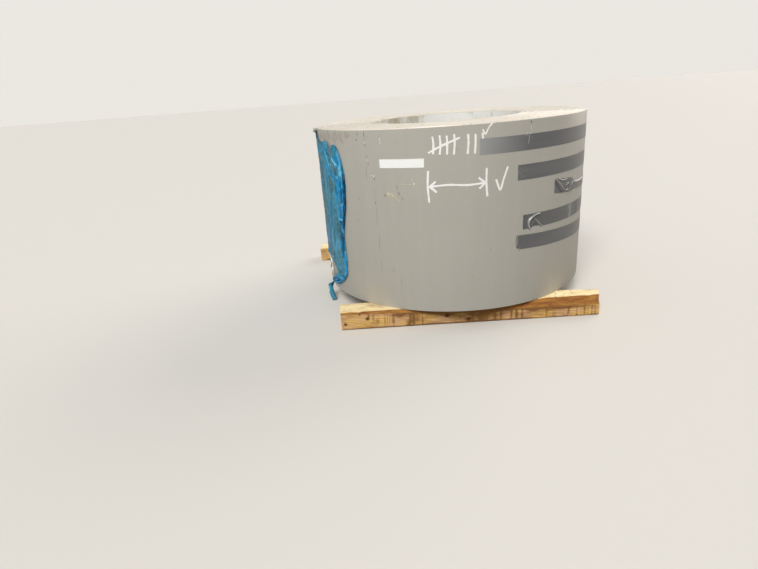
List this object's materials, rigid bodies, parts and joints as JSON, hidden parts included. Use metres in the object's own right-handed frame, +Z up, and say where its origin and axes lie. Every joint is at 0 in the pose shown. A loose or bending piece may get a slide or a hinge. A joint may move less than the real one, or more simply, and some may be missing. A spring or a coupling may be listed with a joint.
{
  "type": "steel coil",
  "caption": "Slit coil of painted steel strip standing on its end on timbers, with an open bore, a taped tail, torn wrapping film and a bare label.",
  "frame": {"origin": "on the floor, under the middle of the whole outline; the coil's axis stands 65.4 mm from it, towards +X, because the rear timber sticks out on the -X side", "axes": "+Z up, along the coil's axis; -Y is the side with the label; the timbers run nearly along X"},
  "size_m": [1.1619, 1.0113, 0.6626],
  "materials": {
    "painted_steel": "factory-painted grey strip, satin",
    "timber": "rough-sawn softwood",
    "tape": "grey duct tape, satin",
    "label": "bare white sticker",
    "film": "blue polyethylene film, crumpled"
  },
  "bodies": {
    "root": {"coil": "painted_steel", "timber_front": "timber", "timber_rear": "timber", "tape_1": "tape", "tape_2": "tape", "tape_3": "tape", "tape_4": "tape", "tape_5": "tape", "label": "label", "film": "film"}
  },
  "joints": []
}
